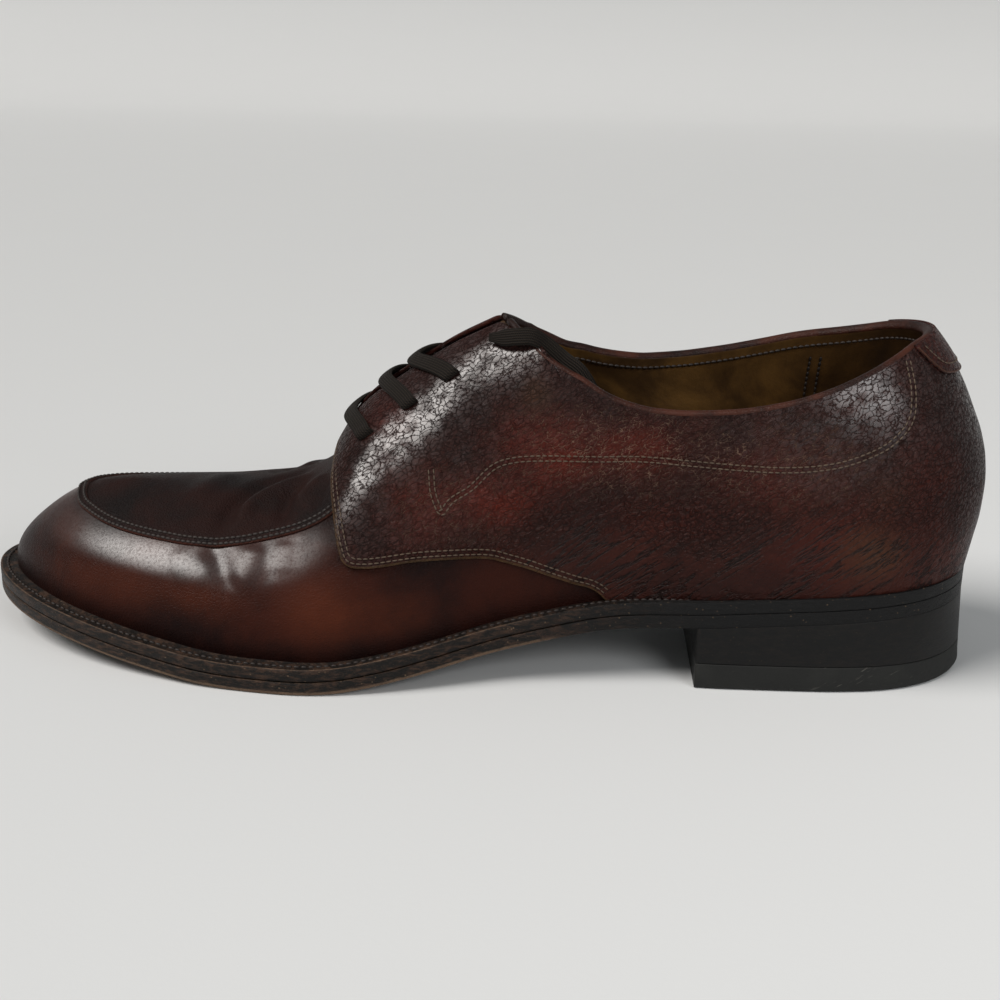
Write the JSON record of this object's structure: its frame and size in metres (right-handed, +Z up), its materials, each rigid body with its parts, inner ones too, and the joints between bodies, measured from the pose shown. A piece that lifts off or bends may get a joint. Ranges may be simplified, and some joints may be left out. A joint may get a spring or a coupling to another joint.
{
  "type": "apron toe blucher shoe",
  "caption": "Left apron-toe lace-up leather dress shoe with open-laced quarters, raised toe seam, welted sole and stacked heel.",
  "frame": {"origin": "middle of the shoe's box on the floor, laces' loose end left out", "axes": "+Z up; -X from heel to toe; -Y to the outer side of the foot"},
  "size_m": [0.3172, 0.1094, 0.1045],
  "materials": {
    "upper_leather": "polished",
    "lining_leather": "satin",
    "edge_leather": "satin",
    "sole_leather": "worn",
    "top_lift_rubber": "worn",
    "lace_cloth": "woven",
    "tip_plastic": "plain"
  },
  "bodies": {
    "root": {"outsole": "sole_leather", "welt": "edge_leather", "heel_base": "edge_leather", "top_lift": "top_lift_rubber", "insole": "lining_leather", "upper": "upper_leather", "tongue": "upper_leather", "lace_bar_1": "lace_cloth", "lace_bar_2": "lace_cloth", "lace_bar_3": "lace_cloth", "lace_end": "lace_cloth", "lace_tip": "tip_plastic"}
  },
  "joints": []
}
